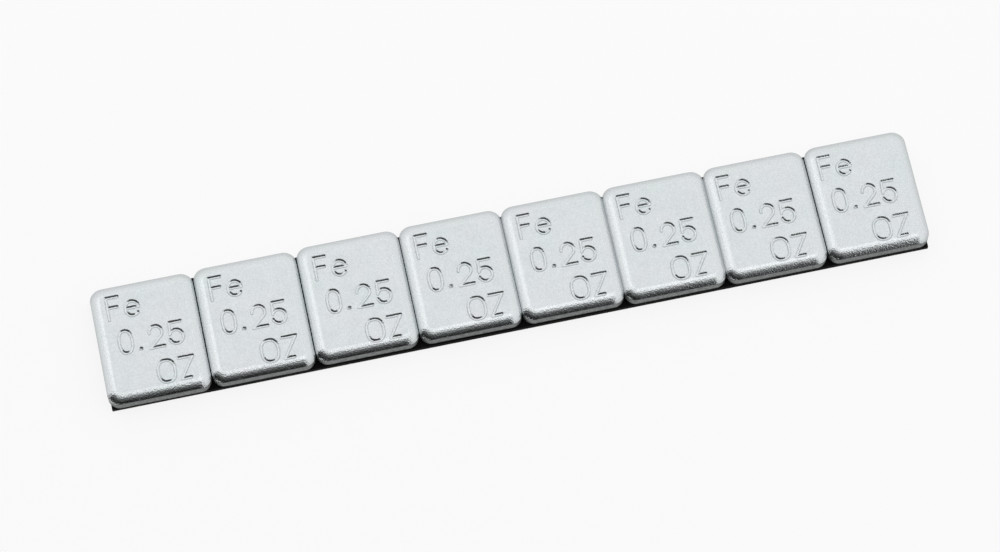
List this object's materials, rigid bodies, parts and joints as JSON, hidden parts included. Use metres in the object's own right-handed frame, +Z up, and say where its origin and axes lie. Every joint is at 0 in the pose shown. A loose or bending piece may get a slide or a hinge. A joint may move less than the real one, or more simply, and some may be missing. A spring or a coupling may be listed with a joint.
{
  "type": "wheel balance weight",
  "caption": "Adhesive wheel balance weight strip: rounded rectangular zinc-plated steel segments side by side on a black foam tape with a release liner, stuck inside a wheel rim.",
  "frame": {"origin": "under the middle of the strip, on the flat face that it rests on, the underside of the release liner", "axes": "+X along the strip, +Y across it from the front edge to the back edge, +Z up through the stamped faces"},
  "size_m": [0.1294, 0.0194, 0.0041],
  "materials": {
    "zinc_plated_steel": "bright zinc plate, fine satin grain from tumbling, faint cool tint",
    "black_foam": "matt black closed-cell foam with cut edges",
    "liner_paper": "plain pale release paper, faint silicone sheen"
  },
  "bodies": {
    "root": {"weight_1": "zinc_plated_steel", "weight_2": "zinc_plated_steel", "weight_3": "zinc_plated_steel", "weight_4": "zinc_plated_steel", "weight_5": "zinc_plated_steel", "weight_6": "zinc_plated_steel", "weight_7": "zinc_plated_steel", "weight_8": "zinc_plated_steel", "foam_tape": "black_foam", "release_liner": "liner_paper"}
  },
  "joints": []
}
